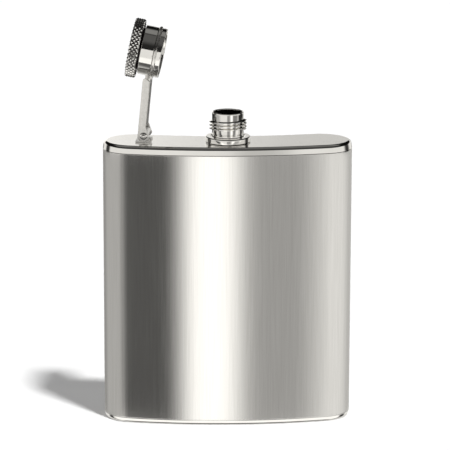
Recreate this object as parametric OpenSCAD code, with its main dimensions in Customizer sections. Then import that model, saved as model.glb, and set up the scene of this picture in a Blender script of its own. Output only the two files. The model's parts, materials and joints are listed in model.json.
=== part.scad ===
// Hip flask with a captive screw cap.
// +Z is up, the convex face looks along -Y, the hinge is on the -X side.
// The origin is the middle of the footprint, on the surface that the flask stands on.
// At rest the cap stands open on its arm.

/* [Body] */
// Width of the body across its rounded ends
body_w = 95; // [90:0.5:100]
// Thickness of the body through the middle
body_t = 24; // [23:0.5:26]
// Height of the body from the base to the top plate
body_h = 108.7; // [95:0.1:125]
// Radius of the bend that fits the body to a hip, at mid-thickness
bend_r = 160; // [150:1:260]
// Thickness of the wrapped sheet and of the two end pans
wall = 0.6; // [0.5:0.05:1]
// Radius of the rolled edge of the end pans
edge_r = 1.1; // [0.9:0.1:1.5]
// Height of the polished rim of the top pan, below its rolled edge
top_rim_h = 1.9; // [1.5:0.1:2.5]
// Height of the polished rim of the bottom pan, above its rolled edge
bottom_rim_h = 0.8; // [0.6:0.1:2]

/* [Neck] */
// Height of the mouth above the top plate
neck_h = 11.75; // [11.5:0.05:12]
// Outer radius of the plain parts of the neck
neck_r = 6.0; // [5.9:0.05:6.2]
// Radius of the pouring bore
neck_bore_r = 5.4; // [5:0.05:5.5]
// Radius over the crests of the thread
thread_r = 7.05; // [6.8:0.05:7.1]
// Distance from one thread crest to the next
thread_pitch = 1.27; // [1:0.01:1.4]
// Height of the lowest crest above the top plate
thread_z = 5.5; // [5:0.1:6]
// Outer radius of the welded collar
collar_r = 8.6; // [8:0.1:8.6]
// Height of the welded collar
collar_h = 2.4; // [2:0.1:2.4]

/* [Hinge] */
// Distance from the hinge pin to the neck's axis
reach = 31.6; // [31.5:0.1:33]
// Height of the pin above the top plate
pin_h = 2.8; // [2.8:0.05:3]
// Radius of the pin's shank
pin_r = 0.8; // [0.7:0.05:0.9]
// Radial running clearance of the pin in the arm
pin_clear = 0.05; // [0.02:0.01:0.1]
// Angle from closed to the open rest position
open_angle = 79; // [70:0.1:90]

/* [Arm] */
// Width of the arm over its two side legs
arm_w = 11; // [10.5:0.1:12]
// Thickness of the sheet that the arm is pressed from
arm_sheet = 0.7; // [0.6:0.05:0.8]
// Depth of the side legs
leg_h = 3.1; // [2:0.1:3.2]
// Radius of the round end of each leg, about the pin
ear_r = 2.3; // [1.8:0.1:2.4]
// Outer radius of the ring that carries the cap
ring_r = 9.9; // [9.7:0.1:10.2]
// Radius of the ring's hole
ring_hole_r = 8.55; // [8.5:0.05:8.6]

/* [Cap] */
// Radius over the knurl of the cap's head
head_r = 11.3; // [11:0.1:11.8]
// Height of the knurled head
head_h = 3.7; // [3.5:0.1:4]
// Overall height of the cap from its mouth
cap_h = 12.4; // [12.2:0.1:13]
// Radius of the smooth barrel below the head
barrel_r = 9.35; // [9.3:0.05:9.5]
// Radius of the groove that the arm's ring sits in
groove_r = 8.2; // [8.15:0.05:8.25]
// Radius of the clear bore that passes over the neck's thread
cap_bore_r = 7.65; // [7.6:0.05:7.7]
// Outer radius of the retaining ring at the cap's mouth
mouth_r = 9.4; // [9.3:0.05:9.6]
// Thickness of the sealing disc
gasket_t = 0.9; // [0.7:0.1:1]

/* [Hidden] */
$fn = 180;

// the kidney-shaped outline: a bent bar of constant thickness with full-round ends
end_r = body_t / 2;
bend_half = asin((body_w / 2 - end_r) / bend_r);
sag = bend_r - bend_r * cos(bend_half);
neck_y = -sag / 2;

end_x = bend_r * sin(bend_half);
end_y = neck_y + sag;

// flats round each stretch of the outline and up the rolled edge
bend_steps = 24;
end_steps = 28;
edge_steps = 5;

// heights of the joints between the sheet and the two pans
shell_z0 = edge_r + bottom_rim_h;
shell_z1 = body_h - edge_r - top_rim_h;

// the hinge sits on the bar's centreline, turned so that the arm points at the neck
hinge_y = bend_r - sqrt(pow(bend_r, 2) - pow(reach, 2));
hinge_yaw = -asin(hinge_y / reach);

// heights measured along the cap's axis from its mouth
mouth_below_pin = 0.95;
lip_depth = 0.75;
retainer_h = 1.7;
ring_z = 1.95;
ring_t = 0.9;
barrel_z = 3.0;
neck_gap_h = 0.5;
head_z = cap_h - head_h;
gasket_z = neck_h - pin_h + mouth_below_pin + 0.1;

// the arm, in the closed position and measured from the pin
leg_v = arm_w / 2 - arm_sheet;
leg_gap = 0.2;
web_start = 3.4;
web_end = reach - ring_r + 0.1;
leg_end = reach - barrel_r - 0.05;
plate_z = ring_z - mouth_below_pin;
web_z0 = -0.2;
web_z1 = plate_z + 0.6;
knuckle_r = 1.9;
foot_t = 0.6;
rivet_head_r = 1.35;
rivet_head_h = 0.45;

function arc(cx, cy, r, a0, a1, steps = 6) =
    [for (i = [0:steps]) let (a = a0 + (a1 - a0) * i / steps) [cx + r * cos(a), cy + r * sin(a)]];

// plan outline of the body, with its face at r from the centreline
function outline(r) = concat(
    arc(0, neck_y + bend_r, bend_r + r, -90 - bend_half, -90 + bend_half, bend_steps),
    arc(end_x, end_y, r, bend_half - 90, bend_half + 90, end_steps),
    arc(0, neck_y + bend_r, bend_r - r, -90 + bend_half, -90 - bend_half, bend_steps),
    arc(-end_x, end_y, r, 90 - bend_half, 270 - bend_half, end_steps)
);

// an upright slab of that outline from z0 to z1
module slab(r, z0, z1) {
    translate([0, 0, z0]) linear_extrude(z1 - z0) polygon(outline(r));
}

// a drawn pan with its flat face at z = 0 and its rim hanging down; the rolled edge is a
// flight of fine steps that follow the quarter round
module pan(rim_h) {
    rise = edge_r / edge_steps;
    difference() {
        union() {
            slab(end_r, -edge_r - rim_h, -edge_r);
            for (i = [1:edge_steps])
                slab(end_r - edge_r + sqrt(pow(edge_r, 2) - pow((i - 0.5) * rise, 2)),
                     -edge_r + (i - 1) * rise, -edge_r + i * rise);
        }
        slab(end_r - wall, -edge_r - rim_h - 1, -wall);
    }
}

module at_neck() {
    translate([0, neck_y, body_h]) children();
}

// the pin's frame: X points at the neck, Y is the pin's axis
module at_pin() {
    translate([-reach * cos(hinge_yaw), neck_y + hinge_y, body_h + pin_h])
        rotate([0, 0, hinge_yaw])
            children();
}

// what turns with the arm, drawn closed and shown open
module opened() {
    at_pin() rotate([0, -open_angle, 0]) children();
}

// the cap's frame: Z runs along its axis from the mouth to the head
module in_cap() {
    opened() translate([reach, 0, -mouth_below_pin]) children();
}

module body_shell() {
    color("silver")
        difference() {
            slab(end_r, shell_z0, shell_z1);
            slab(end_r - wall, shell_z0 - 1, shell_z1 + 1);
        }
}

module top_pan() {
    color("gainsboro")
        difference() {
            translate([0, 0, body_h]) pan(top_rim_h);
            at_neck() cylinder(r = neck_bore_r, h = 4 * wall, center = true);
        }
}

module bottom_pan() {
    color("gainsboro") mirror([0, 0, 1]) pan(bottom_rim_h);
}

// the thread is drawn as a ring for each turn
module neck_tube() {
    turns = 3;
    half_crest = thread_pitch * 0.42;
    outside = concat(
        [[neck_bore_r, 0], [neck_r, 0]],
        [for (i = [0:turns - 1]) let (z = thread_z + i * thread_pitch)
            each [[neck_r, z - half_crest], [thread_r, z - 0.12],
                  [thread_r, z + 0.12], [neck_r, z + half_crest]]],
        [[neck_r, neck_h - 0.2], [neck_r - 0.2, neck_h], [neck_bore_r, neck_h]]
    );
    color("lightsteelblue") at_neck() rotate_extrude() polygon(outside);
}

module neck_collar() {
    inner = neck_r + 0.02;
    section = [[inner, 0], [collar_r, 0], [collar_r, collar_h - 0.4],
               [collar_r - 0.4, collar_h], [inner, collar_h]];
    color("silver") at_neck() rotate_extrude() polygon(section);
}

// a rolled knuckle between the arm's legs, on a flat foot spot-welded to the top pan
module hinge_foot() {
    half_len = leg_v - leg_gap;
    color("dimgray")
        at_pin() difference() {
            union() {
                rotate([90, 0, 0]) cylinder(r = knuckle_r, h = 2 * half_len, center = true);
                translate([-knuckle_r, -half_len, foot_t - pin_h])
                    cube([knuckle_r, 2 * half_len, pin_h - foot_t]);
                translate([-3.2, -half_len, -pin_h]) cube([5.8, 2 * half_len, foot_t]);
            }
            rotate([90, 0, 0]) cylinder(r = pin_r, h = 3 * half_len, center = true);
        }
}

module hinge_pin() {
    half_len = arm_w / 2 + 0.1;
    color("gray")
        at_pin() {
            rotate([90, 0, 0]) cylinder(r = pin_r, h = 2 * half_len, center = true);
            for (side = [-1, 1])
                rotate([side * 90, 0, 0]) translate([0, 0, half_len])
                    cylinder(r = rivet_head_r, h = rivet_head_h);
        }
}

// side view of a leg: round about the pin, tapering up to the ring
module leg_outline() {
    circle(r = ear_r);
    top = web_z1 + leg_h;
    polygon(concat(
        [[0, -ear_r], [web_start, web_z0], [leg_end - 0.9, web_z1]],
        arc(leg_end - 1.1, top - 1.3, 1.1, 0, 90, 5),
        [[0, ear_r]]
    ));
}

module cap_arm() {
    web = [[web_start, web_z0], [web_end, web_z1], [web_end, plate_z],
           [web_end + 2.2, plate_z], [web_end + 2.2, plate_z + ring_t],
           [web_end + 0.3, plate_z + ring_t], [web_end + 0.3, web_z1 + arm_sheet],
           [web_start, web_z0 + arm_sheet]];
    color("lightgray")
        opened() difference() {
            union() {
                for (side = [-1, 1])
                    translate([0, side * (leg_v + arm_sheet / 2), 0])
                        rotate([90, 0, 0])
                            linear_extrude(arm_sheet, center = true) leg_outline();
                rotate([90, 0, 0]) linear_extrude(2 * leg_v + arm_sheet, center = true) polygon(web);
                translate([reach, 0, plate_z]) cylinder(r = ring_r, h = ring_t);
            }
            translate([reach, 0, plate_z - 2]) cylinder(r = ring_hole_r, h = 5);
            rotate([90, 0, 0]) cylinder(r = pin_r + pin_clear, h = 2 * arm_w, center = true);
        }
}

// the knurled head is a cup pressed over the sleeve
module cap_head() {
    bevel = 0.4;
    section = [[0, gasket_z + gasket_t], [barrel_r - 0.45, gasket_z + gasket_t],
               [barrel_r - 0.45, head_z], [head_r - bevel, head_z], [head_r, head_z + bevel],
               [head_r, cap_h - bevel], [head_r - bevel, cap_h], [0, cap_h]];
    color("silver") in_cap() rotate_extrude() polygon(section);
}

module cap_sleeve() {
    recess_r = barrel_r - 0.45;
    section = [[cap_bore_r, lip_depth], [groove_r, lip_depth], [groove_r, barrel_z],
               [barrel_r - 0.1, barrel_z], [barrel_r, barrel_z + 0.1],
               [barrel_r, head_z - neck_gap_h], [recess_r, head_z - neck_gap_h],
               [recess_r, gasket_z + gasket_t], [cap_bore_r, gasket_z + gasket_t]];
    color("gainsboro") in_cap() rotate_extrude() polygon(section);
}

// an L-shaped ring on the end of the sleeve, which keeps the cap in the arm's ring
module cap_retaining_ring() {
    lip_r = collar_r + 0.2;
    section = [[lip_r, 0], [mouth_r - 0.2, 0], [mouth_r, 0.2], [mouth_r, retainer_h],
               [groove_r, retainer_h], [groove_r, lip_depth], [lip_r, lip_depth]];
    color("silver") in_cap() rotate_extrude() polygon(section);
}

module cap_gasket() {
    color("whitesmoke")
        in_cap() translate([0, 0, gasket_z]) cylinder(r = cap_bore_r - 0.05, h = gasket_t);
}

body_shell();
top_pan();
bottom_pan();
neck_tube();
neck_collar();
hinge_foot();
hinge_pin();
cap_arm();
cap_head();
cap_sleeve();
cap_retaining_ring();
cap_gasket();
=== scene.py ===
# %% [markdown]
# # A curved steel hip flask, piece by piece
#
# The CAD model gives every size and every joint. This lesson builds the looks around it: a wrapped
# satin body between two polished pans, a threaded neck, and a knurled cap held on a folding arm.
# Each piece starts as a small primitive, is drawn out and shaped in edit mode, and rides on the
# CAD body that it moves with.

# %% Load the frame
import json
import math
import bpy
from mathutils import Matrix, Vector

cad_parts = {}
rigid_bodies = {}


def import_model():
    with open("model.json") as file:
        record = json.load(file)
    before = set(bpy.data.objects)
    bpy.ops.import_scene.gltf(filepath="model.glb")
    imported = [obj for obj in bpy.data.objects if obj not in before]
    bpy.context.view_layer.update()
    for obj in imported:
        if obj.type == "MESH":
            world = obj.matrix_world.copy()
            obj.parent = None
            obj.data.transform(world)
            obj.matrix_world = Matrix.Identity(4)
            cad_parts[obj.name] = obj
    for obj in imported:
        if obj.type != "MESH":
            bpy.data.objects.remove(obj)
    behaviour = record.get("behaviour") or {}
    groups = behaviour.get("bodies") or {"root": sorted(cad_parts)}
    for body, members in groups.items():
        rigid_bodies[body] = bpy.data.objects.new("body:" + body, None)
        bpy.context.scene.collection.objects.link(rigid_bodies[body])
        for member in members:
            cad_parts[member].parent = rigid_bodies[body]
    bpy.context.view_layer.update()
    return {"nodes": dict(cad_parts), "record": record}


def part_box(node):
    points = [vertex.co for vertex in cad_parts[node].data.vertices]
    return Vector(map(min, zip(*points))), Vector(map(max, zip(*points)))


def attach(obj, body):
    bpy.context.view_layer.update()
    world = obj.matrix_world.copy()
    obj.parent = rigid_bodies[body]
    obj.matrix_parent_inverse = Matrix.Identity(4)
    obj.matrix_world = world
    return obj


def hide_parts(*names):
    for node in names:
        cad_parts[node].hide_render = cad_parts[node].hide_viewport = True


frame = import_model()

mm = 0.001

# %% [markdown]
# ## Where things are
#
# The body's plan is a bent bar with full-round ends. Its box, and the place of the neck on the
# bar's centreline, give the bar's thickness, the middle of each round end, and the radius of the
# bend. Working these out here means that a change in the CAD moves every piece with it.

# %% Read the plan of the body from the CAD
shell_low, shell_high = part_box("body_shell")
plate_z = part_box("top_pan")[1].z
neck_mount = next(m for m in frame["record"]["mounts"] if m["name"] == "neck_bore")
mouth = Vector(neck_mount["pos_m"])
half_thick = (shell_high.y - shell_low.y) / 2 + mouth.y
end_x = shell_high.x - half_thick
end_y = -mouth.y
sag = 2 * end_y
bend_r = (end_x ** 2 + sag ** 2) / (2 * sag)
bend_centre = Vector((0, mouth.y + bend_r, 0))
half_bend = math.asin(end_x / bend_r)
print("bend radius in mm:", round(bend_r / mm, 2), "thickness:", round(2 * half_thick / mm, 2))

# %% Read the hinge and the cap's axis from the joints
joints = {joint["name"]: joint for joint in frame["record"]["behaviour"]["joints"]}
pin = Vector(joints["arm_hinge"]["pos_m"])
pin_axis = Vector(joints["arm_hinge"]["axis"]).normalized()
open_turn = math.radians(joints["arm_hinge"]["range_deg"][1])
to_neck = Vector((mouth.x - pin.x, mouth.y - pin.y, 0))
reach = to_neck.length
hinge_basis = Matrix((to_neck.normalized(), pin_axis, Vector((0, 0, 1)))).transposed().to_4x4()
hinge_place = Matrix.Translation(pin) @ hinge_basis
arm_place = hinge_place @ Matrix.Rotation(-open_turn, 4, "Y")


def span(node, place):
    """The lowest and highest corner of a CAD node, in mm, measured in another frame."""
    back = place.inverted()
    spots = [back @ vertex.co / mm for vertex in frame["nodes"][node].data.vertices]
    return Vector(map(min, zip(*spots))), Vector(map(max, zip(*spots)))


ring_low = span("cap_retaining_ring", arm_place)[0]
cap_place = arm_place @ Matrix.Translation((reach, 0, ring_low.z * mm))
print("reach in mm:", round(reach / mm, 2), "mouth of the cap below the pin:", round(-ring_low.z, 2))

# %% [markdown]
# ## Camera
#
# A long lens well away from the flask keeps its upright sides nearly parallel, and a height that
# looks a little down shows the top plate as a thin band. The flask itself is never turned, so the
# camera goes round it by a degree or two instead.

# %% Set up the camera
view_distance = 1.100
view_height = 0.3416
look_down = math.radians(13.563)
go_round = math.radians(1.696)
aim_side = math.radians(0.053)
lens_roll = math.radians(0.137)
film_width = 36
lens_length = 237.04
nearest_seen = 0.05
furthest_seen = 20

camera_data = bpy.data.cameras.new("studio_camera")
camera = bpy.data.objects.new("studio_camera", camera_data)
bpy.context.scene.collection.objects.link(camera)
camera_data.sensor_width = film_width
camera_data.lens = lens_length
camera_data.clip_start = nearest_seen
camera_data.clip_end = furthest_seen
away = Vector((-math.sin(go_round), -math.cos(go_round), 0)) * view_distance
heading = Matrix.Rotation(-go_round + aim_side, 4, "Z")
tilt = Matrix.Rotation(math.pi / 2 - look_down, 4, "X")
camera.matrix_world = (
    Matrix.Translation(Vector((mouth.x, mouth.y, view_height)) + away)
    @ heading @ tilt @ Matrix.Rotation(lens_roll, 4, "Z")
)
bpy.context.scene.camera = camera
bpy.context.scene.view_settings.view_transform = "Standard"
print("camera at", [round(c, 3) for c in camera.location])

# %% [markdown]
# ## Helpers for finishes
#
# Every finish here is steel or silicone with fine detail in its colour, roughness and bump. The
# helper keeps node wiring short: it adds a node, sets its plain sockets, and links the rest.

# %% Node helpers
noise_low = 0.3
noise_high = 0.7


def new_finish(name, metal, roughness):
    """A material with one Principled shader, whose constant sockets are set on it directly."""
    finish = bpy.data.materials.new(name)
    finish.use_nodes = True
    shader = finish.node_tree.nodes["Principled BSDF"]
    shader.inputs["Metallic"].default_value = metal
    shader.inputs["Roughness"].default_value = roughness
    return finish, shader


def node(finish, kind, links=(), **settings):
    """Adds a node; links pairs a socket name or number with an output, settings are its own."""
    made = finish.node_tree.nodes.new(kind)
    for key, value in settings.items():
        setattr(made, key, value)
    for socket, source in links:
        if hasattr(source, "is_linked"):
            finish.node_tree.links.new(source, made.inputs[socket])
        else:
            made.inputs[socket].default_value = source
    return made


def wire(finish, source, target):
    finish.node_tree.links.new(source, target)


def grain(finish, stretch, scale, detail=3.0, turn=(0, 0, 0)):
    """Noise on Object coordinates, stretched along the directions where stretch is small."""
    spot = node(finish, "ShaderNodeTexCoord")
    turned = node(finish, "ShaderNodeMapping",
                  [("Vector", spot.outputs["Object"]), ("Rotation", turn), ("Scale", stretch)])
    return node(finish, "ShaderNodeTexNoise",
                [("Vector", turned.outputs["Vector"]), ("Scale", scale), ("Detail", detail)])


def between(finish, source, low, high):
    """Maps a noise's grey, which keeps to the middle of its range, to run from low to high."""
    mapped = node(finish, "ShaderNodeMapRange",
                  [("Value", source), ("From Min", noise_low), ("From Max", noise_high),
                   ("To Min", low), ("To Max", high)])
    return mapped.outputs["Result"]


def tint(finish, source, dark, light):
    """Mixes two colours by a grey."""
    mix = node(finish, "ShaderNodeMix", data_type="RGBA")
    wire(finish, source, mix.inputs["Factor"])
    mix.inputs["A"].default_value = (*dark, 1)
    mix.inputs["B"].default_value = (*light, 1)
    return mix.outputs["Result"]


def bump(finish, shader, height, depth):
    """Bump from a grey, as deep as depth in metres."""
    made = node(finish, "ShaderNodeBump", [("Height", height), ("Distance", depth)])
    wire(finish, made.outputs["Normal"], shader.inputs["Normal"])


print("noise is read from", noise_low, "to", noise_high)

# %% [markdown]
# ## Satin steel
#
# The wrap is ground with a fine belt that runs up and down, which leaves upright hairlines of
# slightly different brightness. Noise that is stretched a hundredfold along Z draws them on every
# side of the curved wall. A second, slow noise stands for handling: soft patches where the grain
# is a little duller.

# %% Make the satin steel
satin, satin_shader = new_finish("satin_steel", metal=1.0, roughness=0.25)
hairlines = grain(satin, stretch=(1, 1, 0.01), scale=4200, detail=4.0)
fine_hairs = grain(satin, stretch=(1, 1, 0.02), scale=11000, detail=2.0)
handling = grain(satin, stretch=(1, 1, 0.6), scale=38, detail=4.0)
hair_colour = tint(satin, between(satin, hairlines.outputs["Fac"], low=0, high=1),
                   dark=(0.64, 0.632, 0.615), light=(0.70, 0.694, 0.68))
wire(satin, hair_colour, satin_shader.inputs["Base Color"])
hair_sum = node(satin, "ShaderNodeMath", [(0, hairlines.outputs["Fac"]), (1, fine_hairs.outputs["Fac"])],
                operation="ADD")
dulling = node(satin, "ShaderNodeMath",
               [(0, between(satin, hairlines.outputs["Fac"], low=-0.03, high=0.03)),
                (1, between(satin, handling.outputs["Fac"], low=0.20, high=0.235))],
               operation="ADD")
wire(satin, dulling.outputs["Value"], satin_shader.inputs["Roughness"])
bump(satin, satin_shader, hair_sum.outputs["Value"], depth=0.0000012)
print("finish:", satin.name)

# %% [markdown]
# ## Polished steel
#
# The pans, neck and cap are buffed to a mirror. A mirror is never quite clean: wiping leaves thin
# arcs, and fingers leave patches that scatter a little light. Two noises raise the roughness in
# those places, and a very shallow slow bump bends the reflections as drawn sheet does.

# %% Make the polished steel
def polished_finish(name, colour_dark, colour_light, rough_low, rough_high, waviness):
    """Mirror steel with smudges between two colours and two roughnesses, and a wavy surface."""
    finish, shader = new_finish(name, metal=1.0, roughness=rough_low)
    smudge = grain(finish, stretch=(1, 1, 1), scale=120, detail=5.0)
    wiping = grain(finish, stretch=(1, 0.06, 0.4), scale=2600, detail=2.0, turn=(0.3, 0.2, 0.5))
    colour = tint(finish, between(finish, smudge.outputs["Fac"], low=0, high=1), colour_dark, colour_light)
    wire(finish, colour, shader.inputs["Base Color"])
    wear = node(finish, "ShaderNodeMath",
                [(0, between(finish, smudge.outputs["Fac"], rough_low, rough_high)),
                 (1, between(finish, wiping.outputs["Fac"], low=0, high=0.02))], operation="ADD")
    wire(finish, wear.outputs["Value"], shader.inputs["Roughness"])
    slow = grain(finish, stretch=(1, 1, 1), scale=90, detail=1.0)
    bump(finish, shader, slow.outputs["Fac"], waviness)
    return finish


mirror_dark = (0.79, 0.78, 0.755)
mirror_light = (0.84, 0.83, 0.81)
polished = polished_finish("polished_steel", mirror_dark, mirror_light,
                           rough_low=0.03, rough_high=0.08, waviness=0.000012)
turned = polished_finish("turned_steel", (0.76, 0.75, 0.73), (0.83, 0.82, 0.80),
                         rough_low=0.06, rough_high=0.13, waviness=0.000006)
print("finishes:", polished.name, turned.name)

# %% [markdown]
# ## Arm steel and silicone
#
# The arm is pressed from bright sheet and only tumbled, so it is duller than the pans, with short
# scratches along it. The sealing disc in the cap is pale silicone, matt and very slightly uneven.

# %% Make the arm steel and the silicone
arm_lean = -0.19
pressed, pressed_shader = new_finish("pressed_steel", metal=1.0, roughness=0.2)
rolled_grain = grain(pressed, stretch=(1, 1, 0.05), scale=5200, detail=3.0, turn=(0, arm_lean, 0.1))
tumbling = grain(pressed, stretch=(1, 1, 1), scale=900, detail=4.0)
wire(pressed, tint(pressed, between(pressed, tumbling.outputs["Fac"], low=0, high=1),
                   dark=(0.70, 0.69, 0.665), light=(0.76, 0.75, 0.73)), pressed_shader.inputs["Base Color"])
wire(pressed, between(pressed, rolled_grain.outputs["Fac"], low=0.16, high=0.27),
     pressed_shader.inputs["Roughness"])
bump(pressed, pressed_shader, rolled_grain.outputs["Fac"], depth=0.000002)

silicone, silicone_shader = new_finish("silicone", metal=0.0, roughness=0.55)
silicone_gloss = 0.4
chalk = grain(silicone, stretch=(1, 1, 1), scale=1500, detail=4.0)
wire(silicone, tint(silicone, between(silicone, chalk.outputs["Fac"], low=0, high=1),
                    dark=(0.72, 0.71, 0.68), light=(0.82, 0.81, 0.78)), silicone_shader.inputs["Base Color"])
wire(silicone, between(silicone, chalk.outputs["Fac"], low=0.45, high=0.65),
     silicone_shader.inputs["Roughness"])
silicone_shader.inputs["Specular IOR Level"].default_value = silicone_gloss
bump(silicone, silicone_shader, chalk.outputs["Fac"], depth=0.00002)
print("finishes:", pressed.name, silicone.name)

# %% [markdown]
# ## Drawing a section
#
# Sheet metal and turned parts are both a section carried along a path. A section begins as a tiny
# plane merged to a single point, and that point is extruded from corner to corner. What is drawn
# can then be spun round an axis, or filled and extruded. Long straight runs get an extra corner
# near each end, so that the soft shading of a rounded edge does not spread over the flat beside it.

# %% Section helpers
weld_reach = 0.0005 * mm
smooth_up_to = math.radians(35)


def only(piece):
    bpy.ops.object.select_all(action="DESELECT")
    piece.select_set(True)
    bpy.context.view_layer.objects.active = piece


def draw_section(name, corners):
    """A chain of points through the corners, given in metres. It stays in edit mode, all selected."""
    bpy.ops.object.select_all(action="DESELECT")
    bpy.ops.mesh.primitive_plane_add(size=mm, location=corners[0])
    piece = bpy.context.active_object
    piece.name = name
    bpy.ops.object.mode_set(mode="EDIT")
    bpy.ops.mesh.select_all(action="SELECT")
    bpy.ops.mesh.merge(type="CENTER")
    for here, there in zip(corners, corners[1:]):
        step = Vector(there) - Vector(here)
        bpy.ops.mesh.extrude_region_move(TRANSFORM_OT_translate={"value": step})
    bpy.ops.mesh.select_all(action="SELECT")
    return piece


def weld_and_face_out():
    bpy.ops.mesh.select_all(action="SELECT")
    bpy.ops.mesh.remove_doubles(threshold=weld_reach)
    bpy.ops.mesh.normals_make_consistent(inside=False)


def settle(piece, place=Matrix()):
    """Leaves edit mode and puts the piece's place into its mesh."""
    bpy.ops.object.mode_set(mode="OBJECT")
    only(piece)
    bpy.ops.object.transform_apply(location=True, rotation=True, scale=True)
    piece.matrix_world = place
    bpy.ops.object.transform_apply(location=True, rotation=True, scale=True)
    return piece


def arc(centre, radius, start, stop, steps=6):
    """Points of an arc in a section, as (across, up), with its angles in degrees."""
    turns = [math.radians(start + (stop - start) * i / steps) for i in range(steps + 1)]
    return [(centre[0] + radius * math.cos(a), centre[1] + radius * math.sin(a)) for a in turns]


def braced(section, brace=0.3):
    """Adds a corner just inside each end of a long straight run, which keeps its shading flat."""
    corners = [section[0]]
    for here, there in zip(section, section[1:]):
        run = math.dist(here, there)
        if run > 4 * brace:
            for share in (brace / run, 1 - brace / run):
                corners.append(tuple(a + (b - a) * share for a, b in zip(here, there)))
        corners.append(there)
    return corners


def soften(piece, width, segments=2, angle=28):
    """Rounds the hard edges with an applied Bevel, then shades smooth up to an angle."""
    only(piece)
    made = piece.modifiers.new("soft_edges", "BEVEL")
    made.width = width
    made.segments = segments
    made.limit_method = "ANGLE"
    made.angle_limit = math.radians(angle)
    bpy.ops.object.modifier_apply(modifier=made.name)
    bpy.ops.object.shade_smooth_by_angle(angle=math.radians(angle))


def finish_piece(piece, finish, body, slot, *nodes):
    """Gives a piece its finish, its body and the CAD nodes that it stands for; the slot is not used."""
    piece.data.materials.clear()
    piece.data.materials.append(finish)
    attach(piece, body)
    if nodes:
        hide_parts(*nodes)
    print(piece.name, "faces:", len(piece.data.polygons))


print("corners closer than this are welded, in mm:", weld_reach / mm)

# %% [markdown]
# ## Round the body
#
# The wrap and both pans follow one plan: front bend, round end, back bend, round end. An upright
# section is spun about four centres in turn, and each spin carries on from where the last stopped.
# In this section the first number is the distance out from the middle of the bar.

# %% Carry a section round the body
bend_spin_steps = 56
end_spin_steps = 36


def carry_round(name, section):
    """Spins an upright section, in mm, about the four centres of the body's plan."""
    outward = Vector((-math.sin(half_bend), -math.cos(half_bend), 0))
    corners = [bend_centre + outward * (bend_r + out * mm) + Vector((0, 0, up * mm))
               for out, up in braced(section)]
    piece = draw_section(name, corners)
    right_end = (end_x, end_y, 0)
    left_end = (-end_x, end_y, 0)
    rounds = (
        (bend_centre, 2 * half_bend, bend_spin_steps),
        (right_end, math.pi, end_spin_steps),
        (bend_centre, -2 * half_bend, bend_spin_steps),
        (left_end, math.pi, end_spin_steps),
    )
    for centre, turn, steps in rounds:
        bpy.ops.mesh.spin(steps=steps, angle=-turn, center=centre, axis=(0, 0, 1))
    weld_and_face_out()
    return piece


def thicken(piece, thickness):
    """Gives a sheet its thickness on the inside, with an applied Solidify."""
    only(piece)
    made = piece.modifiers.new("sheet", "SOLIDIFY")
    made.thickness = thickness
    made.offset = -1
    bpy.ops.object.modifier_apply(modifier=made.name)


print("steps round the body:", 2 * (bend_spin_steps + end_spin_steps))

# %% [markdown]
# ## The satin wrap
#
# One sheet wrapped round a former makes the whole wall. Its upper and lower edges are turned in a
# little where it is welded to the pans, which leaves a fine dark line all the way round.

# %% Model the wrap
half = half_thick / mm
wrap_low = shell_low.z / mm
wrap_high = shell_high.z / mm
edge_turn = 0.14
edge_depth = 0.45
hairline = 0.02
wrap_foot = wrap_low + hairline
wrap_head = wrap_high - hairline
wrap_out = half - 2 * hairline
tall_brace = 12
sheet_thickness = 0.4
wrap_smooth = math.radians(40)
wrap_section = (
    [(wrap_out - edge_depth, wrap_foot), (wrap_out - edge_turn, wrap_foot)]
    + arc((wrap_out - edge_turn, wrap_foot + edge_turn), edge_turn, -90, 0, steps=4)[1:]
    + [(wrap_out, wrap_low + tall_brace), (wrap_out, (wrap_low + wrap_high) / 2),
       (wrap_out, wrap_high - tall_brace)]
    + arc((wrap_out - edge_turn, wrap_head - edge_turn), edge_turn, 0, 90, steps=4)
    + [(wrap_out - edge_depth, wrap_head)]
)
wrap = carry_round("satin_wrap", wrap_section)
settle(wrap)
thicken(wrap, sheet_thickness * mm)
bpy.ops.object.shade_smooth_by_angle(angle=wrap_smooth)
finish_piece(wrap, satin, "flask", "satin_steel", "body_shell")

# %% [markdown]
# ## The top pan
#
# The lid is a shallow drawn pan: a flat plate, a rolled edge, and a short rim. The rim leans in
# slightly towards the top, so it catches a different part of the room than the wall below it and
# reads as a bright line. The plate is filled between the swept edge and a circle for the bore.

# %% Model the top pan
top_z = plate_z / mm
rim_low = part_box("top_pan")[0].z / mm
bore_r = neck_mount["dims"]["r_mm"]
roll_r = 1.3
roll_steps = 10
lean = math.radians(9)
joint_turn = 0.12
joint_lift = 0.03
joint_depth = 0.5
rim_out = half - hairline
rim_foot = rim_low + joint_turn + hairline
roll_z = top_z - roll_r
lean_top_z = roll_z + roll_r * math.sin(lean)
lean_top = rim_out - (lean_top_z - rim_foot) * math.tan(lean)
roll_across = lean_top - roll_r * math.cos(lean)
flat_border = 1.6
top_section = (
    [(half - joint_depth, rim_low + hairline), (half - joint_turn, rim_low + joint_lift),
     (rim_out, rim_foot)]
    + arc((roll_across, roll_z), roll_r, math.degrees(lean), 90, steps=roll_steps)
    + [(roll_across - flat_border, top_z)]
)
top_pan = carry_round("polished_top_pan", top_section)
settle(top_pan)
hole_sides = 96
same_level = 0.02 * mm


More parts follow.
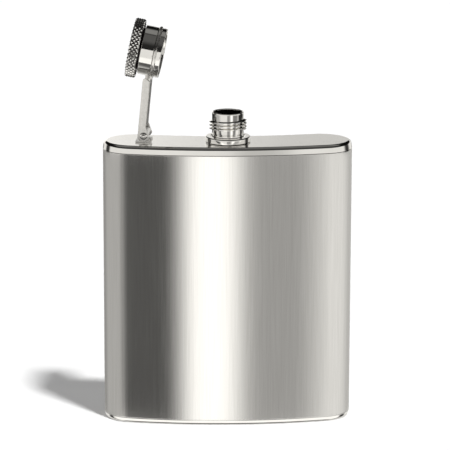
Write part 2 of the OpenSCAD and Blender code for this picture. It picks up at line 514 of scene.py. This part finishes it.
def fill_flat(piece, height, hole=None):
    """Fills the open edge at a height, in mm, round a hole of a given radius on the neck's axis."""
    only(piece)
    bpy.ops.object.mode_set(mode="EDIT")
    bpy.ops.mesh.select_all(action="DESELECT")
    if hole:
        bpy.ops.mesh.primitive_circle_add(vertices=hole_sides, radius=hole * mm,
                                          location=(mouth.x, mouth.y, height * mm))
    bpy.ops.mesh.select_mode(type="EDGE")
    bpy.ops.mesh.select_all(action="DESELECT")
    bpy.ops.mesh.select_non_manifold(extend=False, use_wire=True, use_boundary=True,
                                     use_multi_face=False, use_non_contiguous=False,
                                     use_verts=False)
    bpy.ops.object.mode_set(mode="OBJECT")
    for edge in piece.data.edges:
        level = [abs(piece.data.vertices[v].co.z - height * mm) < same_level for v in edge.vertices]
        edge.select = edge.select and all(level)
    bpy.ops.object.mode_set(mode="EDIT")
    bpy.ops.mesh.fill(use_beauty=True)
    weld_and_face_out()
    bpy.ops.mesh.select_mode(type="VERT")
    bpy.ops.object.mode_set(mode="OBJECT")


fill_flat(top_pan, top_z, hole=bore_r)
thicken(top_pan, sheet_thickness * mm)
bpy.ops.object.shade_smooth_by_angle(angle=smooth_up_to)
finish_piece(top_pan, polished, "flask", "polished_steel", "top_pan")

# %% [markdown]
# ## The bottom pan
#
# The bottom is the same pan turned over, with a shorter rim. Its underside is set in a little, so
# the flask stands on a narrow border and not on the whole plate.

# %% Model the bottom pan
rim_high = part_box("bottom_pan")[1].z / mm
bottom_head = rim_high - joint_turn - hairline
tuck = math.radians(13)
tuck_low_z = roll_r - roll_r * math.sin(tuck)
tuck_low = rim_out - (bottom_head - tuck_low_z) * math.tan(tuck)
tuck_across = tuck_low - roll_r * math.cos(tuck)
recess = 0.35
border_in = 0.9
recess_in = 1.2
floor_in = 1.9
bottom_section = (
    [(tuck_across - floor_in, recess), (tuck_across - recess_in, recess), (tuck_across - border_in, 0)]
    + arc((tuck_across, roll_r), roll_r, -90, -math.degrees(tuck), steps=roll_steps)
    + [(rim_out, bottom_head), (half - joint_turn, rim_high - joint_lift),
       (half - joint_depth, rim_high - hairline)]
)
bottom_pan = carry_round("polished_bottom_pan", bottom_section)
settle(bottom_pan)
fill_flat(bottom_pan, recess)
thicken(bottom_pan, sheet_thickness * mm)
bpy.ops.object.shade_smooth_by_angle(angle=smooth_up_to)
finish_piece(bottom_pan, polished, "flask", "polished_steel", "bottom_pan")

# %% [markdown]
# ## Turned parts
#
# The neck, its collar and the four parts of the cap are turned on a lathe. Here the section is
# drawn to the right of the axis and spun a full turn. Its doubles are merged, which also closes
# the pole of a section that starts on the axis, and its hard edges get a small bevel.

# %% A lathe
lathe_steps = 96


def lathe(name, section, place, edge=0.05, steps=lathe_steps):
    """Spins a section of (radius, height) in mm a full turn, and puts it in its place."""
    piece = draw_section(name, [(out * mm, 0, up * mm) for out, up in braced(section)])
    bpy.ops.mesh.spin(steps=steps, angle=2 * math.pi, center=(0, 0, 0), axis=(0, 0, 1))
    weld_and_face_out()
    settle(piece, place)
    if edge:
        soften(piece, edge * mm)
    else:
        bpy.ops.object.shade_smooth_by_angle(angle=smooth_up_to)
    return piece


print("sides of a turned part:", lathe_steps)

# %% [markdown]
# ## The neck and its thread
#
# The tube ends in a rounded mouth, and a fine groove runs round it above the collar. The thread is
# one ridge: a small trapezium carried up a helix by a Screw modifier. Its two ends are pulled into
# the wall, as a cutter leaves them.

# %% Model the neck tube
neck_place = Matrix.Translation((mouth.x, mouth.y, plate_z))
neck_h = (mouth.z - plate_z) / mm
neck_r = 6.0
neck_root = -0.4
lip = 0.28
groove_z = 3.2
groove_side = 0.12
groove_floor = 0.3
neck_groove_r = neck_r - 0.25
neck_section = (
    [(bore_r, neck_root), (neck_r, neck_root), (neck_r, groove_z),
     (neck_groove_r, groove_z + groove_side), (neck_groove_r, groove_z + groove_side + groove_floor),
     (neck_r, groove_z + 2 * groove_side + groove_floor)]
    + arc((neck_r - lip, neck_h - lip), lip, 0, 180, steps=8)
    + [(bore_r, neck_root)]
)
neck = lathe("threaded_neck", neck_section, neck_place, edge=0)

# %% Model the thread and join it on
thread_out = span("neck_tube", neck_place)[1].x
pitch = 1.27
first_crest = 4.87
thread_turns = 3
helix_steps = 72


def helix_ridge(name, section, turns, rise, sink, place):
    """Carries a closed section, in mm, up a helix, and sinks its two ends by a radial distance."""
    ridge = draw_section(name, [(out * mm, 0, up * mm) for out, up in section])
    bpy.ops.mesh.remove_doubles(threshold=weld_reach)
    settle(ridge)
    twist = ridge.modifiers.new("twist", "SCREW")
    twist.angle = 2 * math.pi
    twist.iterations = turns
    twist.screw_offset = rise * mm
    twist.steps = helix_steps
    twist.render_steps = helix_steps
    twist.use_merge_vertices = False
    bpy.ops.object.modifier_apply(modifier=twist.name)
    bpy.ops.object.mode_set(mode="EDIT")
    bpy.ops.mesh.select_all(action="DESELECT")
    bpy.ops.mesh.select_non_manifold(extend=False, use_wire=False, use_boundary=True,
                                     use_multi_face=False, use_non_contiguous=False,
                                     use_verts=False)
    bpy.ops.mesh.fill()
    bpy.ops.transform.translate(value=(sink * mm, 0, 0))
    weld_and_face_out()
    settle(ridge, place)
    bpy.ops.object.shade_smooth_by_angle(angle=smooth_up_to)
    return ridge


crest = 0.14
ridge_foot = 0.52
rooted = 0.1
root_r = neck_r - rooted
thread_section = [
    (root_r, first_crest - ridge_foot), (thread_out, first_crest - crest),
    (thread_out, first_crest + crest), (root_r, first_crest + ridge_foot),
    (root_r, first_crest - ridge_foot),
]
thread = helix_ridge("thread_ridge", thread_section, thread_turns, pitch, sink=-0.9, place=neck_place)
only(neck)
thread.select_set(True)
bpy.ops.object.join()
finish_piece(neck, polished, "flask", "polished_steel", "neck_tube")

# %% Model the collar
collar_out = span("neck_collar", neck_place)[1].x
collar_h = span("neck_collar", neck_place)[1].z
collar_round = 0.42
collar_in = neck_r + hairline
undercut = 0.22
undercut_top = 0.2
collar_foot = 0.3
inner_chamfer_r = neck_r + 0.5
inner_chamfer = 0.12
collar_section = (
    [(collar_in, 0), (collar_out - undercut, 0), (collar_out - undercut, undercut_top),
     (collar_out, collar_foot)]
    + arc((collar_out - collar_round, collar_h - collar_round), collar_round, 0, 90, steps=6)
    + [(inner_chamfer_r, collar_h), (collar_in, collar_h - inner_chamfer), (collar_in, 0)]
)
collar = lathe("neck_collar_ring", collar_section, neck_place, edge=0.04)
finish_piece(collar, polished, "flask", "polished_steel", "neck_collar")

# %% [markdown]
# ## The hinge
#
# A strip is rolled round the pin to make the knuckle, and its tail is the foot that is welded to
# the plate. Its side view is drawn, filled, and extruded along the pin. The pin is a semi-hollow
# rivet: its ends are spread over the arm's ears, each with a small dark hollow in the middle.
# Weighted normals keep the flats of these pressed parts flat beside their rounded edges.

# %% Model the knuckle and foot
def press_out(name, outline, near, far, place, edge=0.1, segments=2):
    """Fills an outline of (along, up) in mm and extrudes it along the pin, from near to far."""
    piece = draw_section(name, [(along * mm, near * mm, up * mm) for along, up in outline])
    bpy.ops.mesh.remove_doubles(threshold=weld_reach)
    bpy.ops.mesh.edge_face_add()
    bpy.ops.mesh.extrude_region_move(TRANSFORM_OT_translate={"value": (0, (far - near) * mm, 0)})
    weld_and_face_out()
    settle(piece, place)
    soften(piece, edge * mm, segments)
    flat = piece.modifiers.new("flat_faces", "WEIGHTED_NORMAL")
    flat.keep_sharp = True
    bpy.ops.object.modifier_apply(modifier=flat.name)
    return piece


foot_low, foot_high = span("hinge_foot", hinge_place)
knuckle_r = foot_high.z
foot_thickness = 0.6
foot_top = foot_low.z + foot_thickness
curl_start = 0.35
curl_from = -84
curl_steps = 28
knuckle_outline = (
    [(foot_low.x, foot_low.z), (foot_high.x, foot_low.z), (foot_high.x, foot_top), (curl_start, foot_top)]
    + arc((0, 0), knuckle_r, curl_from, 180, steps=curl_steps)
    + [(-knuckle_r, foot_top), (foot_low.x, foot_top), (foot_low.x, foot_low.z)]
)
knuckle = press_out("hinge_knuckle", knuckle_outline, foot_low.y, foot_high.y, hinge_place, edge=0.09)
finish_piece(knuckle, pressed, "flask", "arm_steel", "hinge_foot")

# %% Model the rivet
rivet_high = span("hinge_pin", hinge_place)[1]
rivet_end = rivet_high.y
rivet_r = rivet_high.x
shank_r = 0.8
shoulder = rivet_end - 0.45
hollow_floor = rivet_end - 0.5
hollow_r = 0.5
hollow_edge_r = 0.72
spread_r = 0.86
dome_r = 1.15
hollow_edge_drop = 0.05
dome_drop = 0.1
head_side = 0.16
half_rivet = [
    (0, hollow_floor), (hollow_r, shoulder), (hollow_edge_r, rivet_end - hollow_edge_drop),
    (spread_r, rivet_end), (dome_r, rivet_end - dome_drop), (rivet_r, shoulder + head_side),
    (rivet_r, shoulder), (shank_r, shoulder),
]
rivet_section = half_rivet + [(out, -up) for out, up in reversed(half_rivet)]
rivet_place = hinge_place @ Matrix.Rotation(-math.pi / 2, 4, "X")
rivet = lathe("hinge_rivet", rivet_section, rivet_place, edge=0.04, steps=48)
finish_piece(rivet, turned, "flask", "arm_steel", "hinge_pin")

# %% [markdown]
# ## The arm
#
# The arm is a channel pressed from one strip: a web between two side legs, with a flat ring at its
# end that holds the cap. The legs are rounded about the pin and taper up to the ring. Legs, web
# and ring are made as plates with rounded edges and joined into one piece.

# %% Model the arm
arm_low, arm_high = span("cap_arm", arm_place)
sheet = 0.7
leg_out = 5.5
leg_in = leg_out - sheet
leg_edge = 0.14
reach_mm = reach / mm
ear_r = -arm_low.x
ring_out = arm_high.x - reach_mm
ring_hole = 8.55
ring_z = 1.0
ring_thick = 0.9
web_start = (3.4, -0.2)
web_top = ring_z + 0.6
web_end = reach_mm - ring_out + 0.1
web_tongue = web_end + 2.0
overlap = 0.05
leg_end = web_end + 0.1
leg_top = arm_high.z
leg_corner = 1.1
corner_drop = 1.3
web_joint_in = 0.9
leg_outline = (
    arc((0, 0), ear_r, 90, 270, steps=14)
    + [web_start, (leg_end - web_joint_in, web_top)]
    + arc((leg_end - leg_corner, leg_top - corner_drop), leg_corner, 0, 90, steps=6)
    + [(0, ear_r)]
)
tongue_low = ring_z + overlap
tongue_high = ring_z + ring_thick - overlap
bend_low = web_end + 0.1
bend_high = web_end + 0.4
bend_top = web_end + 0.3
web_outline = [
    web_start, (web_end, web_top - overlap), (bend_low, tongue_low), (web_tongue, tongue_low),
    (web_tongue, tongue_high), (bend_high, tongue_high), (bend_top, web_top + sheet),
    (web_start[0], web_start[1] + sheet), web_start,
]
near_leg = press_out("arm_near_leg", leg_outline, -leg_out, -leg_in, arm_place, leg_edge, segments=3)
far_leg = press_out("arm_far_leg", leg_outline, leg_in, leg_out, arm_place, leg_edge, segments=3)
web = press_out("arm_web", web_outline, -leg_in - overlap, leg_in + overlap, arm_place, edge=0.08)
ring_place = arm_place @ Matrix.Translation((reach, 0, 0))
ring_section = [(ring_hole, ring_z), (ring_out, ring_z), (ring_out, ring_z + ring_thick),
                (ring_hole, ring_z + ring_thick), (ring_hole, ring_z)]
arm = lathe("cap_arm_strap", ring_section, ring_place, edge=0.16)
for part in (near_leg, far_leg, web):
    part.select_set(True)
bpy.ops.object.join()
finish_piece(arm, pressed, "arm", "arm_steel", "cap_arm")

# %% [markdown]
# ## The knurled head
#
# The head is a turned cup with a shallow dish in its end. Its grip is a diamond knurl: two sets of
# crossing grooves that leave rows of small pyramids. One pyramid is a cone with four sides, set on
# the drum, and spun round it as copies. Each next row is the same row moved along by half a
# diamond and turned by half a step. Little light reaches the valleys between the pyramids, or the
# recess under the head, so their colour darkens with depth.

# %% Paint shade into the valleys and the recess
def cap_coordinates(finish):
    """The distance from the cap's axis and the height over its mouth, both in mm."""
    spot = node(finish, "ShaderNodeTexCoord").outputs["Object"]
    axis = tuple(cap_place.col[2].xyz)
    from_mouth = node(finish, "ShaderNodeVectorMath",
                      [(0, spot), (1, tuple(cap_place.translation))], operation="SUBTRACT").outputs[0]
    height = node(finish, "ShaderNodeVectorMath", [(0, from_mouth), (1, axis)],
                  operation="DOT_PRODUCT").outputs["Value"]
    across = node(finish, "ShaderNodeVectorMath", [(0, from_mouth), (1, axis)],
                  operation="CROSS_PRODUCT").outputs[0]
    radius = node(finish, "ShaderNodeVectorMath", [(0, across)], operation="LENGTH").outputs["Value"]
    in_mm = [node(finish, "ShaderNodeMath", [(0, value), (1, mm)], operation="DIVIDE").outputs[0]
             for value in (radius, height)]
    return in_mm


def paint_shade(finish, value, start, stop, darkest):
    """Paints shade: multiplies the colour by a grey that rises from darkest to 1 as a value goes from start
    to stop.
    """
    shader = finish.node_tree.nodes["Principled BSDF"]
    colour = shader.inputs["Base Color"].links[0].from_socket
    grey = node(finish, "ShaderNodeMapRange",
                [("Value", value), ("From Min", start), ("From Max", stop), ("To Min", darkest)])
    scaled = node(finish, "ShaderNodeVectorMath", [(0, colour), ("Scale", grey.outputs["Result"])],
                  operation="SCALE")
    wire(finish, scaled.outputs[0], shader.inputs["Base Color"])


print("cap's axis:", [round(c, 3) for c in cap_place.col[2].xyz])

# %% Model the head
head_high = span("cap_head", cap_place)[1]
head_r = head_high.x
cap_top = head_high.z
grip_h = 3.7
head_foot = cap_top - grip_h
seal_top = span("cap_gasket", cap_place)[1].z
groove_depth = 0.42
drum_r = head_r - groove_depth
chamfer = 0.4
top_chamfer = 0.25
cup_r = 8.25
top_rim_in = drum_r - 1.1
dish_r = drum_r - 1.6
dish_edge = cap_top - 0.22
dish_middle = cap_top - 0.26
head_section = [
    (0, seal_top + hairline), (cup_r, seal_top + hairline), (cup_r, head_foot),
    (drum_r - chamfer, head_foot), (drum_r, head_foot + chamfer), (drum_r, cap_top - chamfer),
    (drum_r - top_chamfer, cap_top - hairline), (top_rim_in, cap_top), (dish_r, dish_edge),
    (0, dish_middle),
]
head = lathe("knurled_head", head_section, cap_place, edge=0.06)

# %% Cut the knurl and join it on
teeth_round = 44
diamond_w = 2 * math.pi * head_r / teeth_round
diamond_h = 1.62
row_count = 4
row_gap = diamond_h / 2
first_row = (head_foot + cap_top) / 2 - row_gap * (row_count - 1) / 2
tooth_root = 0.03
tooth_h = head_r - drum_r + tooth_root
tooth_tip = 0.1

bpy.ops.object.select_all(action="DESELECT")
bpy.ops.mesh.primitive_cone_add(vertices=4, radius1=diamond_w / 2 * mm, radius2=tooth_tip * mm,
                                depth=tooth_h * mm, end_fill_type="NGON")
knurl = bpy.context.active_object
knurl.name = "knurl_teeth"
knurl.rotation_euler = (0, math.pi / 2, 0)
bpy.ops.object.transform_apply(location=True, rotation=True, scale=True)
bpy.ops.object.mode_set(mode="EDIT")
bpy.ops.mesh.select_all(action="SELECT")
bpy.ops.transform.resize(value=(1, 1, diamond_h / diamond_w))
tooth_middle = head_r - tooth_h / 2
bpy.ops.transform.translate(value=(tooth_middle * mm, 0, first_row * mm))
bpy.ops.mesh.spin(steps=teeth_round, angle=2 * math.pi, dupli=True, center=(0, 0, 0), axis=(0, 0, 1))
weld_and_face_out()
bpy.ops.object.mode_set(mode="OBJECT")
rows = [knurl]
for row in range(1, row_count):
    only(knurl)
    bpy.ops.object.duplicate()
    copy = bpy.context.active_object
    half_step = math.pi / teeth_round * (row % 2)
    copy.matrix_world = (Matrix.Translation((0, 0, row * row_gap * mm))
                         @ Matrix.Rotation(half_step, 4, "Z"))
    bpy.ops.object.transform_apply(location=True, rotation=True, scale=True)
    rows.append(copy)
for row in rows:
    row.select_set(True)
bpy.context.view_layer.objects.active = knurl
bpy.ops.object.join()
settle(knurl, cap_place)
knurled = polished_finish("knurled_steel", (0.80, 0.79, 0.77), (0.88, 0.87, 0.85),
                          rough_low=0.05, rough_high=0.10, waviness=0.000004)
from_axis = cap_coordinates(knurled)[0]
# painted shade: the knurl's colour is darkened towards the drum, in the valleys between the pyramids
paint_shade(knurled, from_axis, start=drum_r + hairline, stop=head_r - 0.16, darkest=0.03)
knurl.data.materials.append(knurled)
finish_piece(head, turned, "cap", "polished_steel", "cap_head")
only(head)
knurl.select_set(True)
bpy.ops.object.join()

# %% [markdown]
# ## The sleeve
#
# The sleeve is the smooth barrel between the knurl and the arm's ring. A recess under the head makes a black
# line:
# its gap gives real shadow, and shade is also painted into the colour over the recess. A groove near the
# mouth takes the ring. Inside, a thread ridge runs up the bore.

# %% Model the sleeve
barrel_r = span("cap_sleeve", cap_place)[1].x
bore_wall = 7.65
groove_r = 8.2
lip_depth = 0.75
barrel_foot = 3.0
barrel_gap = 0.75
barrel_head = head_foot - barrel_gap
recess_r = 8.2
foot_chamfer = 0.16
head_chamfer = 0.12
sleeve_section = [
    (bore_wall, lip_depth), (groove_r, lip_depth), (groove_r, barrel_foot),
    (barrel_r - foot_chamfer, barrel_foot), (barrel_r, barrel_foot + foot_chamfer),
    (barrel_r, barrel_head - head_chamfer), (barrel_r - head_chamfer, barrel_head),
    (recess_r, barrel_head), (recess_r, seal_top), (bore_wall, seal_top), (bore_wall, lip_depth),
]
sleeve = lathe("cap_sleeve_barrel", sleeve_section, cap_place, edge=0.05)
inner_root_r = bore_wall + rooted
inner_ridge_r = 7.36
inner_crest = 6.0
inner_foot = 0.5
inner_flat = 0.12
inner_section = [
    (inner_root_r, inner_crest - inner_foot), (inner_root_r, inner_crest + inner_foot),
    (inner_ridge_r, inner_crest + inner_flat), (inner_ridge_r, inner_crest - inner_flat),
    (inner_root_r, inner_crest - inner_foot),
]
inner_thread = helix_ridge("inner_thread", inner_section, 2, pitch, sink=0.4, place=cap_place)
only(sleeve)
inner_thread.select_set(True)
bpy.ops.object.join()
barrel_steel = polished_finish("barrel_steel", mirror_dark, mirror_light,
                               rough_low=0.03, rough_high=0.08, waviness=0.000008)
over_mouth = cap_coordinates(barrel_steel)[1]
# painted shade: the colour above the barrel's end, in the recess under the head, is darkened almost to black
paint_shade(barrel_steel, over_mouth, start=barrel_head + hairline, stop=barrel_head - 0.06, darkest=0.02)
finish_piece(sleeve, barrel_steel, "cap", "polished_steel", "cap_sleeve")

# %% [markdown]
# ## The retaining ring and the seal
#
# A ring pressed onto the end of the sleeve keeps the cap in the arm. Its rounded lip is the bright
# circle at the cap's mouth. The seal is a disc with a soft raised bead, as a moulded one has.

# %% Model the retaining ring
retainer_high = span("cap_retaining_ring", cap_place)[1]
mouth_r = retainer_high.x
retainer_top = retainer_high.z
mouth_hole = 8.8
mouth_round = 0.26
retainer_section = (
    arc((mouth_hole + mouth_round, mouth_round), mouth_round, 180, 270, steps=4)
    + arc((mouth_r - mouth_round, mouth_round), mouth_round, -90, 0, steps=4)
    + [(mouth_r, retainer_top), (groove_r, retainer_top), (groove_r, lip_depth),
       (mouth_hole, lip_depth), (mouth_hole, mouth_round)]
)
retainer = lathe("retaining_ring_lip", retainer_section, cap_place, edge=0.05)
finish_piece(retainer, polished, "cap", "polished_steel", "cap_retaining_ring")

# %% Model the seal
seal_low = span("cap_gasket", cap_place)[0].z
seal_r = span("cap_gasket", cap_place)[1].x
seal_face = seal_low + 0.12
bead_middle = 5.7
bead_r = 0.8
bead_foot = 1.1
seal_chamfer = 0.15
seal_side = 0.3
seal_section = (
    [(0, seal_face), (bead_middle - bead_foot, seal_face)]
    + arc((bead_middle, seal_face), bead_r, 180, 360, steps=10)[1:-1]
    + [(bead_middle + bead_foot, seal_face), (seal_r - seal_chamfer, seal_face + hairline),
       (seal_r, seal_low + seal_side), (seal_r, seal_top), (0, seal_top)]
)
seal_section = [(out, max(up, seal_low)) for out, up in seal_section]
seal = lathe("seal_disc", seal_section, cap_place, edge=0.04)
finish_piece(seal, silicone, "cap", "silicone", "cap_gasket")

# %% [markdown]
# ## Floor and light
#
# The floor is a plain pale sheet. Steel shows its surroundings more than its own colour, so the
# studio is made of soft cards. Far ones are drawn in the world's shader, round a white room with a
# dark ceiling. Near ones are four low walls close round the body, which give the satin wall its
# broad upright bands. Only reflections see the cards. The camera and the floor see plain white,
# and one soft lamp lays the shadow.

# %% Lay the floor
floor_size = 6
bpy.ops.object.select_all(action="DESELECT")
bpy.ops.mesh.primitive_plane_add(size=floor_size, location=(0, 0, 0))
floor = bpy.context.active_object
floor.name = "studio_floor"
paper, paper_shader = new_finish("studio_paper", metal=0.0, roughness=0.9)
paper_grain = grain(paper, stretch=(1, 1, 1), scale=60, detail=3.0)
wire(paper, tint(paper, between(paper, paper_grain.outputs["Fac"], low=0, high=1),
                 dark=(0.93, 0.93, 0.93), light=(0.95, 0.95, 0.95)), paper_shader.inputs["Base Color"])
floor.data.materials.append(paper)
floor.visible_glossy = False
print("floor:", floor_size, "m square")

# %% Helpers for soft cards
deg = math.pi / 180


def sum_of(owner, operation, *sources):
    return node(owner, "ShaderNodeMath", list(enumerate(sources)), operation=operation).outputs["Value"]


def ramp_up(owner, source, low, high):
    """A smooth step from 0 to 1 as a value goes from low to high."""
    made = node(owner, "ShaderNodeMapRange",
                [("Value", source), ("From Min", low), ("From Max", high)],
                interpolation_type="SMOOTHSTEP")
    return made.outputs["Result"]


def bell(owner, source, low, high, soft_low, soft_high):
    """1 between low and high, with edges that are soft by their own amount on each side."""
    rise = ramp_up(owner, source, low - soft_low, low + soft_low)
    fall = ramp_up(owner, source, high + soft_high, high - soft_high)
    return sum_of(owner, "MULTIPLY", rise, fall)


def shade(owner, base, card, value):
    """Goes from the base brightness to a value where the card is 1."""
    made = node(owner, "ShaderNodeMapRange", [("Value", card), ("To Min", base), ("To Max", value)])
    return made.outputs["Result"]


def hang(owner, source, base, cards):
    """Lays cards over a base brightness: start, stop, softness of each edge, brightness."""
    for low, high, soft_low, soft_high, value in cards:
        base = shade(owner, base, bell(owner, source, low, high, soft_low, soft_high), value)
    return base


def lay(owner, base, value, *masks):
    """Goes from the base brightness to a value where every mask is 1."""
    mask = masks[0]
    for other in masks[1:]:
        mask = sum_of(owner, "MULTIPLY", mask, other)
    return shade(owner, base, mask, value)


print("one degree in radians:", round(deg, 5))

# %% Build the far studio in the world's shader
world = bpy.data.worlds.new("studio")
bpy.context.scene.world = world
world.use_nodes = True
world.node_tree.nodes.clear()
where = node(world, "ShaderNodeTexCoord").outputs["Generated"]
parts = node(world, "ShaderNodeSeparateXYZ", [("Vector", where)]).outputs
to_viewer = sum_of(world, "MULTIPLY", parts["Y"], -1.0)
round_turn = sum_of(world, "DIVIDE", sum_of(world, "ARCTAN2", parts["X"], to_viewer), deg)
rise_turn = sum_of(world, "DIVIDE", sum_of(world, "ARCSINE", parts["Z"]), deg)
behind = ramp_up(world, parts["Y"], 0.90, 0.95)
behind_half = ramp_up(world, parts["Y"], 0, 0.1)
in_front = ramp_up(world, parts["Y"], 0.12, -0.12)
print("masks by direction: behind, behind_half, in_front")

# %% Hang the far cards
# turns are in degrees: 0 is towards the viewer and + is to the right
# each card: where it starts and stops, how soft each of its two edges is, and its brightness
room = 0.92
warm = (1, 0.985, 0.95, 1)
low_cards = (
    (-104, -64, 5, 14, 0.52),
    (-7, 13, 3, 4, 0.34),
    (20, 31, 3, 3, 1.35),
    (36, 74, 4, 8, 0.24),
    (80, 138, 7, 7, 0.03),
    (-185, -104, 5, 7, 0.04),
)
rim_cards = (
    (3, 18, 6, 5, 0.62),
    (96, 124, 8, 8, 0.05),
    (-126, -102, 6, 6, 0.05),
)
low_room = hang(world, round_turn, room, low_cards)
high_room = hang(world, round_turn, room, rim_cards)
side_fall = node(world, "ShaderNodeMapRange",
                 [("Value", parts["X"]), ("From Min", -0.05), ("From Max", 0.05),
                  ("To Min", 1.18), ("To Max", 0.68)]).outputs["Result"]
high_room = shade(world, high_room, behind, side_fall)
print("far cards:", len(low_cards) + len(rim_cards))

# %% Shade the room by height
# heights are in degrees over the horizon
table_level = bell(world, rise_turn, -62, -26, 3, 5)
neck_level = bell(world, rise_turn, -18, -9, 2, 2)
ceiling = ramp_up(world, rise_turn, 12.8, 14.2)
ceiling_edge = bell(world, rise_turn, 18, 44, 3, 4)
ceiling_front = ramp_up(world, rise_turn, 30, 56)
ceiling_patch = bell(world, rise_turn, 52, 84, 8, 6)
below_level = ramp_up(world, rise_turn, -6, -9)
straight_down = ramp_up(world, rise_turn, -64, -70)
table_glow = 1.25
ceiling_dark = 0.006
edge_dark = 0.02
front_dim = 0.10
patch_dim = 0.24
behind_dark = 0.03
under_dark = 0.01
studio = shade(world, high_room, neck_level, low_room)
studio = lay(world, studio, table_glow, in_front, table_level)
studio = lay(world, studio, ceiling_dark, ceiling)
studio = lay(world, studio, edge_dark, in_front, ceiling_edge)
studio = lay(world, studio, front_dim, in_front, ceiling_front)
studio = lay(world, studio, patch_dim, behind_half, ceiling_patch)
studio = lay(world, studio, behind_dark, behind, below_level)
studio = lay(world, studio, under_dark, straight_down)
print("brightness of the room:", room, "of the ceiling:", ceiling_dark)

# %% Light what is not a reflection plainly
camera_white = 1.05
matt_white = 0.36
seen_by = node(world, "ShaderNodeLightPath").outputs
plain = node(world, "ShaderNodeMapRange",
             [("Value", seen_by["Is Camera Ray"]), ("To Min", matt_white), ("To Max", camera_white)])
white_light = node(world, "ShaderNodeBackground",
                   [("Color", (1, 1, 1, 1)), ("Strength", plain.outputs["Result"])])
card_light = node(world, "ShaderNodeBackground", [("Color", warm), ("Strength", studio)])
pick = node(world, "ShaderNodeMixShader",
            [("Fac", seen_by["Is Glossy Ray"]), (1, white_light.outputs[0]), (2, card_light.outputs[0])])
node(world, "ShaderNodeOutputWorld", [("Surface", pick.outputs[0])])
print("white for the camera:", camera_white, "for matt surfaces:", matt_white)

# %% Stand the near cards
wall_gap = 20 * mm
wall_low = -9 * mm
wall_top = shell_high.z - 1.5 * mm
side_top = shell_high.z - 5 * mm
wall_x = shell_high.x + wall_gap
wall_y = shell_high.y + wall_gap


def near_wall(name, across, back, top, along, base, cards):
    """An upright wall with soft cards, laid out in mm along X or Y, that only reflections see."""
    width = 2 * (wall_x if along == "X" else wall_y)
    turn = 0 if along == "X" else math.pi / 2
    bpy.ops.object.select_all(action="DESELECT")
    bpy.ops.mesh.primitive_plane_add(size=1, location=(across, back, (wall_low + top) / 2),
                                     rotation=(math.pi / 2, 0, turn))
    wall = bpy.context.active_object
    wall.name = name
    wall.scale = (width, top - wall_low, 1)
    bpy.ops.object.transform_apply(location=True, rotation=True, scale=True)
    cloth = bpy.data.materials.new(name)
    cloth.use_nodes = True
    cloth.node_tree.nodes.clear()
    spot = node(cloth, "ShaderNodeSeparateXYZ",
                [("Vector", node(cloth, "ShaderNodeTexCoord").outputs["Object"])]).outputs[along]
    place = sum_of(cloth, "DIVIDE", spot, mm)
    glow = node(cloth, "ShaderNodeEmission",
                [("Color", warm), ("Strength", hang(cloth, place, base, cards))])
    node(cloth, "ShaderNodeOutputMaterial", [("Surface", glow.outputs[0])])
    wall.data.materials.append(cloth)
    for kind in ("visible_camera", "visible_diffuse", "visible_shadow", "visible_transmission"):
        setattr(wall, kind, False)
    print(name, "cards:", len(cards))


# each card, in mm: where it starts and stops, how soft each of its two edges is, and its brightness
front_cards = (
    (8, 45, 10, 13, 0.47),
    (-18.5, 3, 9.5, 8, 1.65),
    (-70, -23, 22, 8, 0.115),
)
back_cards = (
    (-80, -12, 6, 12, 0.40),
    (-4, 14, 8, 8, 1.5),
    (22, 60, 8, 20, 0.14),
)
left_cards = (
    (-40, -30, 5, 6, 0.25),
    (16, 60, 8, 6, 0.36),
)
right_cards = ((4, 60, 16, 5, 0.62),)
near_wall("near_front", 0, -wall_y, wall_top, "X", base=1.04, cards=front_cards)
near_wall("near_back", 0, wall_y, wall_top, "X", base=0.95, cards=back_cards)
near_wall("near_left", -wall_x, 0, side_top, "Y", base=0.58, cards=left_cards)
near_wall("near_right", wall_x, 0, side_top, "Y", base=1.02, cards=right_cards)

# %% Hang the lamp
lamp_data = bpy.data.lights.new("key_lamp", "SUN")
lamp_strength = 2.7
lamp_spread = math.radians(5)
lamp_data.energy = lamp_strength
lamp_data.angle = lamp_spread
lamp = bpy.data.objects.new("key_lamp", lamp_data)
bpy.context.scene.collection.objects.link(lamp)
lamp_place = Vector((0.29, -0.39, 1.10))
lamp.location = lamp_place
lamp.rotation_euler = (-lamp_place).to_track_quat("-Z", "Y").to_euler()
lamp.visible_glossy = False
lamp.visible_camera = False
print("lamp strength:", lamp_strength)
